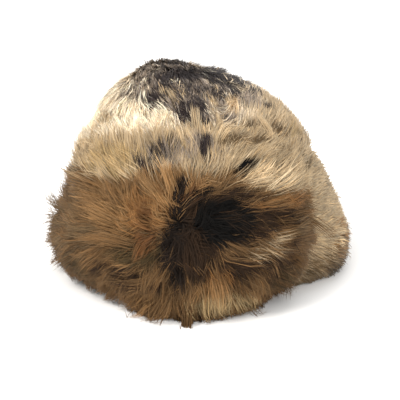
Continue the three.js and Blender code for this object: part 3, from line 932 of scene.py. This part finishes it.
def crown_hide():
    """The crown's shell, and how many rows of points each of its faces has."""
    angles = np.arange(0, 360, 3.0)
    rows = np.concatenate([np.linspace(0, 4, 14), np.linspace(4.3, CROWN_TOP - 0.02, 22)])
    angle, row = np.meshgrid(angles, rows, indexing="ij")
    around = crown_skin(angle + 0.1, row) - crown_skin(angle - 0.1, row)
    up = crown_skin(angle, np.minimum(row + 0.01, CROWN_TOP)) - crown_skin(angle, row - 0.01)
    outward = unit(np.cross(around, up))
    face = crown_skin(angle, row)
    outer, inner = face + outward * CROWN_HIDE_RISE, face - outward * SKIN
    return grid_shell("crown_hide", outer, inner, True), len(rows)


def flap_shell(name, flap):
    start, end = flap["span"]
    angles = np.linspace(start, end, int((end - start) / 2.5) + 1)
    angle, row = np.meshgrid(angles, np.linspace(0, EDGE_ROW, 40), indexing="ij")
    face = flap_hide(flap)(angle, row)
    back = beside_crown(angle, face[..., 2], np.ones_like(angle))
    return grid_shell(name, face, back, False)


class FURCAP_OT_hides(bpy.types.Operator):
    """Makes the three tanned hides that carry the fur"""

    bl_idname = "fur_cap.hides"
    bl_label = "Hides"

    def execute(self, context):
        suede = suede_material("suede")
        skin = fur_material("hide_under_fur", 0.85, 0.0)
        mesh, rows = crown_hide()
        tint_hide(mesh, CROWN_SURFACE, crown_base, 21)
        place_piece(mesh, [skin, suede], "crown")
        inside = np.arange(len(mesh.polygons)) % (2 * rows) >= rows - 1
        mesh.polygons.foreach_set("material_index", inside.astype(np.int32))
        for name, flap, surface, base, slot, node in (
            ("brow_hide", BROW_FLAP, BROW_SURFACE, brow_base, "brow_fur", "front_flap"),
            ("nape_hide", NAPE_FLAP, NAPE_SURFACE, nape_base, "nape_fur", "back_flap"),
        ):
            mesh = flap_shell(name, flap)
            tint_hide(mesh, surface, base, 22)
            place_piece(mesh, [skin], node)
        return {"FINISHED"}


def above_flaps(margin):
    """Keeps roots on the open part of the crown."""

    def kept(angle, row):
        height = columns(CROWN_SECTIONS, row)[0]
        return (height > covered_height(angle) - margin).astype(float)

    return kept


END_ROOM = 2.2  # millimetres of hair for each degree in from a flap's end
LEAST_REACH = 0.3
FOOT_ROWS = 3, 6  # where shorter hair at the foot grows to full length
FLARE_ROWS = 3.4, 6
FLARE_EDGE = 12  # degrees
TOP_ROWS = 7.2, EDGE_ROW
OFF_TABLE = 9, 14  # heights of the fold at which hair may hang freely


def trimmed(flap, length, margin):
    """A share of the length by place: hair is shorter at a flap's ends and towards its top edge,
    and at its foot beyond the skirt, and longer in its flare."""

    def reach(angle, row):
        room = np.clip((from_end(flap, angle) * END_ROOM + margin) / length, LEAST_REACH, 1)
        tucked = 1 - ease(angle - flap["span"][0], 0, flap["tuck_span"])
        start, end = flap["skirt"]
        beyond = ease(start - angle, 0, 20) + ease(angle - end, 0, 18)
        beyond = beyond * (1 - ease(np.interp(angle, *flap["foot"].T), *OFF_TABLE))
        foot = 1 - 0.7 * beyond * (1 - ease(row, *FOOT_ROWS))
        first, last, more = flap["flare"]
        inside = ease(angle, first, first + FLARE_EDGE)
        inside = inside * (1 - ease(angle, last - FLARE_EDGE, last))
        foot = foot * (1 + more * inside * (1 - ease(row, *FLARE_ROWS)))
        return room * foot * (1 - (0.42 + 0.3 * tucked) * ease(row, *TOP_ROWS))

    return reach


FLAP_ROOTS = 2.0, EDGE_ROW - 0.3  # the rows of a flap that bear hair


class FURCAP_OT_crown_fur(bpy.types.Operator):
    """Grows the crown's fur"""

    bl_idname = "fur_cap.crown_fur"
    bl_label = "Crown fur"

    def execute(self, context):
        sizes = context.scene.fur_cap_sizes
        width = sizes.strand_width / MM
        coat = "crown_fur", CROWN_SURFACE, crown_base, fur_material("crown_fur", 0.6, 0.06)
        common = {
            "angles": (0, 360), "rows": (2.2, CROWN_TOP - 0.1), "loose": 0.5, "bend": 5,
        }
        grow_hair(
            "crown_underfur", coat, 101, **common, kept=above_flaps(14), count=30000, locks=1500,
            length=sizes.underfur_length / MM, width=width * 1.8, sway=8, stray=14, lift=28,
            roll=10, hold=0.3, ramp=(0.7, 0.85, 0.97),
        )
        grow_hair(
            "crown_guard_hair", coat, 102, **common, kept=above_flaps(6), count=36000, locks=4200,
            length=sizes.crown_length / MM, width=width, sway=9, stray=6, lift=16,
            roll=12, hold=0.5, ramp=(0.68, 0.88, 1.0, 1.04), together=0.85,
        )
        return {"FINISHED"}


class FURCAP_OT_brow_fur(bpy.types.Operator):
    """Grows the brow flap's fur"""

    bl_idname = "fur_cap.brow_fur"
    bl_label = "Brow flap's fur"

    def execute(self, context):
        sizes = context.scene.fur_cap_sizes
        width = sizes.strand_width / MM
        length = sizes.brow_length / MM
        coat = "brow_fur", BROW_SURFACE, brow_base, fur_material("brow_fur", 0.65, 0.02)
        common = {
            "angles": BROW_FLAP["span"], "rows": FLAP_ROOTS, "loose": 1, "bend": 17,
            "whorl": (9, 76, 24), "reach": trimmed(BROW_FLAP, length, 8),
        }
        grow_hair(
            "brow_underfur", coat, 201, **common, count=40000, locks=2000,
            length=sizes.underfur_length / MM * 1.3, width=width * 2.0, sway=18, stray=14,
            lift=32, roll=10, hold=0.45, ramp=(0.4, 0.62, 0.85),
        )
        grow_hair(
            "brow_guard_hair", coat, 202, **common, count=36000, locks=1800,
            length=length * 0.92, width=width, sway=18, stray=10,
            lift=27, roll=12, hold=0.68, ramp=(0.5, 0.74, 0.94, 0.98),
        )
        grow_hair(
            "brow_long_hair", coat, 203, **common, count=33000, locks=1150,
            length=length, width=width * 0.95, sway=20, stray=9,
            lift=29, roll=14, hold=0.82, ramp=(0.48, 0.73, 0.94, 0.99),
        )
        grow_hair(
            "brow_rim_hair", coat, 204, angles=(-4, 24), rows=(3.0, 4.2), count=2600, locks=170,
            length=length * 0.75, width=width, loose=1, bend=20, sway=20, stray=8,
            lift=50, roll=20, hold=0.8, ramp=(0.4, 0.75, 1.0, 1.05),
        )
        grow_hair(
            "brow_tuft", coat, 205, angles=(12.5, 16), rows=(3.6, 4.4), count=300, locks=2,
            length=length * 1.3, width=width, loose=0.3, bend=6, sway=4, stray=5,
            lift=66, roll=20, hold=0.94, ramp=(0.5, 0.85, 1.05, 1.1),
        )
        return {"FINISHED"}


class FURCAP_OT_nape_fur(bpy.types.Operator):
    """Grows the nape flap's shorter fur"""

    bl_idname = "fur_cap.nape_fur"
    bl_label = "Nape flap's fur"

    def execute(self, context):
        sizes = context.scene.fur_cap_sizes
        width = sizes.strand_width / MM
        length = sizes.nape_length / MM
        coat = "nape_fur", NAPE_SURFACE, nape_base, fur_material("nape_fur", 0.62, 0.06)
        common = {
            "angles": NAPE_FLAP["span"], "rows": FLAP_ROOTS, "loose": 0.5, "bend": 6,
        }
        grow_hair(
            "nape_underfur", coat, 301, **common, count=24000, locks=1500,
            length=sizes.underfur_length / MM * 0.9, width=width * 2.0, sway=6, stray=10,
            lift=26, roll=20, hold=0.3, ramp=(0.6, 0.8, 0.95),
        )
        grow_hair(
            "nape_guard_hair", coat, 302, **common, count=25000, locks=2400,
            length=length, width=width * 1.1, sway=9, stray=6,
            lift=16, roll=18, hold=0.5, ramp=(0.62, 0.85, 1.0, 1.05),
            reach=trimmed(NAPE_FLAP, length, 7),
        )
        return {"FINISHED"}


def aim(item, target):
    way = Vector(target) - item.location
    item.rotation_euler = way.to_track_quat("-Z", "Y").to_euler()


def add_light(name, location, target, size, power, colour=(1, 1, 1)):
    data = bpy.data.lights.new(name, "AREA")
    data.shape = "DISK"
    data.size = size
    data.energy = power
    data.color = colour
    light = bpy.data.objects.new(name, data)
    light.location = location
    aim(light, target)
    bpy.context.scene.collection.objects.link(light)


class FURCAP_OT_stage(bpy.types.Operator):
    """Makes the pale floor, the soft lights and the camera"""

    bl_idname = "fur_cap.stage"
    bl_label = "Stage"

    def execute(self, context):
        scene = context.scene
        stage = scene.fur_cap_stage
        half = 4.0
        mesh = bpy.data.meshes.new("floor")
        corners = [(-half, -half, 0), (half, -half, 0), (half, half, 0), (-half, half, 0)]
        mesh.from_pydata(corners, [], [(0, 1, 2, 3)])
        material, tree, shader = new_material("floor")
        set_inputs(tree, shader, {
            "Base Color": (*linear(stage.floor_colour), 1), "Roughness": 0.9,
        })
        mesh.materials.append(material)
        floor = bpy.data.objects.new("floor", mesh)
        scene.collection.objects.link(floor)

        world = bpy.data.worlds.new("studio")
        world.use_nodes = True
        background = world.node_tree.nodes["Background"]
        background.inputs["Color"].default_value = (1.0, 0.985, 0.955, 1)
        background.inputs["Strength"].default_value = 0.95
        scene.world = world
        scene.view_settings.view_transform = "Standard"

        middle = (0, 0, 0.08)
        add_light("key", (-0.55, -0.75, 1.15), middle, 0.7, 17, (1, 0.965, 0.92))
        add_light("fill", (0.9, -0.7, 0.7), middle, 0.9, 5)
        add_light("back", (0.1, 0.9, 1.0), middle, 0.9, 6)

        camera_data = bpy.data.cameras.new("camera")
        camera_data.sensor_width = 36
        camera_data.lens = camera_data.sensor_width * stage.distance / stage.view_width
        camera = bpy.data.objects.new("camera", camera_data)
        level = math.cos(stage.elevation)
        way = Vector((
            math.sin(stage.azimuth) * level,
            -math.cos(stage.azimuth) * level,
            math.sin(stage.elevation),
        ))
        target = Vector((0, 0, stage.target_height))
        camera.location = target + way * stage.distance
        aim(camera, target)
        scene.collection.objects.link(camera)
        scene.camera = camera
        return {"FINISHED"}


class FURCAP_PT_panel(bpy.types.Panel):
    """The cap's sizes and colours, and the steps that make it"""

    bl_idname = "FURCAP_PT_panel"
    bl_label = "Fur Cap"
    bl_space_type = "VIEW_3D"
    bl_region_type = "UI"
    bl_category = "Fur Cap"

    def draw(self, context):
        layout = self.layout
        for group in (
            context.scene.fur_cap_sizes,
            context.scene.fur_cap_colours,
            context.scene.fur_cap_stage,
        ):
            for name in group.__annotations__:
                layout.prop(group, name)
        for operator in OPERATORS:
            layout.operator(operator.bl_idname)


OPERATORS = (
    FURCAP_OT_stage,
    FURCAP_OT_hides,
    FURCAP_OT_crown_fur,
    FURCAP_OT_brow_fur,
    FURCAP_OT_nape_fur,
)
GROUPS = {
    "fur_cap_sizes": FurCapSizes,
    "fur_cap_colours": FurCapColours,
    "fur_cap_stage": FurCapStage,
}


def register():
    for cls in (*GROUPS.values(), *OPERATORS, FURCAP_PT_panel):
        bpy.utils.register_class(cls)
    for name, cls in GROUPS.items():
        setattr(bpy.types.Scene, name, bpy.props.PointerProperty(type=cls))


def unregister():
    for name in GROUPS:
        delattr(bpy.types.Scene, name)
    for cls in (FURCAP_PT_panel, *reversed(OPERATORS), *reversed(GROUPS.values())):
        bpy.utils.unregister_class(cls)


def main():
    register()
    bpy.ops.fur_cap.stage()
    bpy.ops.fur_cap.hides()
    bpy.ops.fur_cap.crown_fur()
    bpy.ops.fur_cap.brow_fur()
    bpy.ops.fur_cap.nape_fur()


if __name__ == "__main__":
    main()
